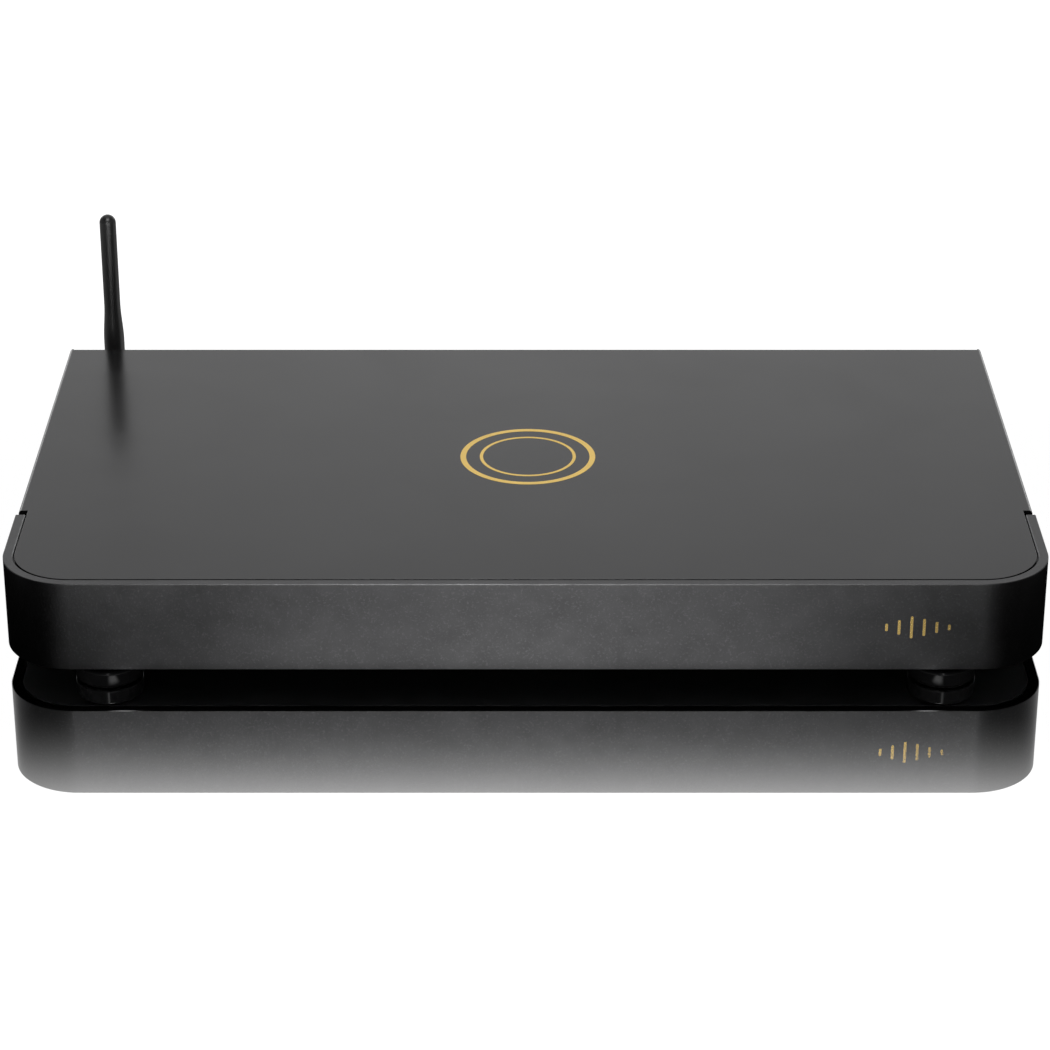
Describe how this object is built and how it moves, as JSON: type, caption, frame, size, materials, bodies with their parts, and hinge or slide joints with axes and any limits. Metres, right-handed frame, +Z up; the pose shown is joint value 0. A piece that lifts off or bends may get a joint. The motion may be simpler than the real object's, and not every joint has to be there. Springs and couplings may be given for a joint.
{
  "type": "network streamer",
  "caption": "Low, full-width network streamer: wrap-around front with rounded corners, flush folded cover, round feet, rear sockets and a hinged antenna.",
  "frame": {"origin": "on the table, under the middle of the whole footprint (front plane to the antenna's rear side)", "axes": "+Z up, -Y towards the listener (the front), +X to the listener's right when they face the front"},
  "size_m": [0.43, 0.2744, 0.108],
  "materials": {
    "bezel": "bead-blasted, black anodised, satin",
    "cover": "black anodised, smooth satin",
    "sheet_steel": "fine-textured black powder coat",
    "foot_gloss": "polished, black anodised",
    "pad_rubber": "matt",
    "fastener": "zinc plated",
    "black_moulding": "fine-grained moulding",
    "rocker_gloss": "glossy moulding",
    "antenna_plastic": "smooth satin moulding",
    "pin_nickel": "nickel plated",
    "gold_plate": "gold plated, bright",
    "core_red": "plain moulding",
    "core_white": "plain moulding",
    "core_orange": "plain moulding",
    "fuse_glass": "clear tube",
    "board": "solder mask",
    "heatsink": "black anodised",
    "shield_can": "tinned",
    "sleeve": "printed-free heat-shrink sleeve",
    "winding": "polyester tape over copper and steel",
    "cable": "plain sleeve"
  },
  "bodies": {
    "case": {"front_bezel": "bezel", "top_cover": "cover", "chassis_tray": "sheet_steel", "rear_panel": "sheet_steel", "foot_front_left": "foot_gloss", "foot_front_right": "foot_gloss", "foot_rear_left": "foot_gloss", "foot_rear_right": "foot_gloss", "foot_pad_front_left": "pad_rubber", "foot_pad_front_right": "pad_rubber", "foot_pad_rear_left": "pad_rubber", "foot_pad_rear_right": "pad_rubber", "foot_screw_front_left": "fastener", "foot_screw_front_right": "fastener", "foot_screw_rear_left": "fastener", "foot_screw_rear_right": "fastener", "transformer_washer": "fastener", "transformer_bolt": "fastener", "mains_inlet": "black_moulding", "switch_housing": "black_moulding", "optical_output": "black_moulding", "mains_pin_live": "pin_nickel", "mains_pin_neutral": "pin_nickel", "mains_pin_earth": "pin_nickel", "lan_socket": "pin_nickel", "usb_socket": "pin_nickel", "phono_right_shell": "gold_plate", "phono_left_shell": "gold_plate", "coaxial_output_shell": "gold_plate", "antenna_socket": "gold_plate", "antenna_socket_nut": "gold_plate", "antenna_coupling_nut": "gold_plate", "phono_right_core": "core_red", "phono_left_core": "core_white", "usb_tongue_lower": "core_white", "usb_tongue_upper": "core_white", "coaxial_output_core": "core_orange", "main_board": "board", "converter_board": "board", "supply_board": "board", "compute_module": "board", "compute_heatsink": "heatsink", "regulator_heatsink": "heatsink", "wireless_module": "shield_can", "reservoir_capacitor_1": "sleeve", "reservoir_capacitor_2": "sleeve", "reservoir_capacitor_3": "sleeve", "transformer": "winding", "inlet_lead": "cable", "primary_lead": "cable", "secondary_lead": "cable", "supply_lead": "cable", "antenna_lead": "cable"},
    "knuckle": {"antenna_knuckle": "antenna_plastic"},
    "whip": {"antenna_whip": "antenna_plastic", "antenna_hinge_pin": "fastener"},
    "rocker": {"power_rocker": "rocker_gloss"},
    "drawer": {"fuse_drawer": "black_moulding", "fuse": "fuse_glass"},
    "shutter": {"optical_shutter": "black_moulding"}
  },
  "joints": [
    {"name": "antenna_swivel", "type": "hinge", "parent": "case", "child": "knuckle", "pos_m": [-0.196, 0.12225, 0.024], "axis": [0, 1, 0], "continuous": true},
    {"name": "antenna_tilt", "type": "hinge", "parent": "knuckle", "child": "whip", "pos_m": [-0.196, 0.13235, 0.024], "axis": [-1, 0, 0], "range_deg": [0, 90]},
    {"name": "power_switch", "type": "hinge", "parent": "case", "child": "rocker", "pos_m": [0.132, 0.10985, 0.028], "axis": [-1, 0, 0], "range_deg": [0, 18]},
    {"name": "fuse_drawer_slide", "type": "slide", "parent": "case", "child": "drawer", "axis": [0, 1, 0], "range_m": [0, 0.012]},
    {"name": "shutter_swing", "type": "hinge", "parent": "case", "child": "shutter", "pos_m": [0.022, 0.10505, 0.0278], "axis": [-1, 0, 0], "range_deg": [0, 85], "stiffness_Nm_per_rad": 0.0004, "springref_deg": -20.05}
  ]
}
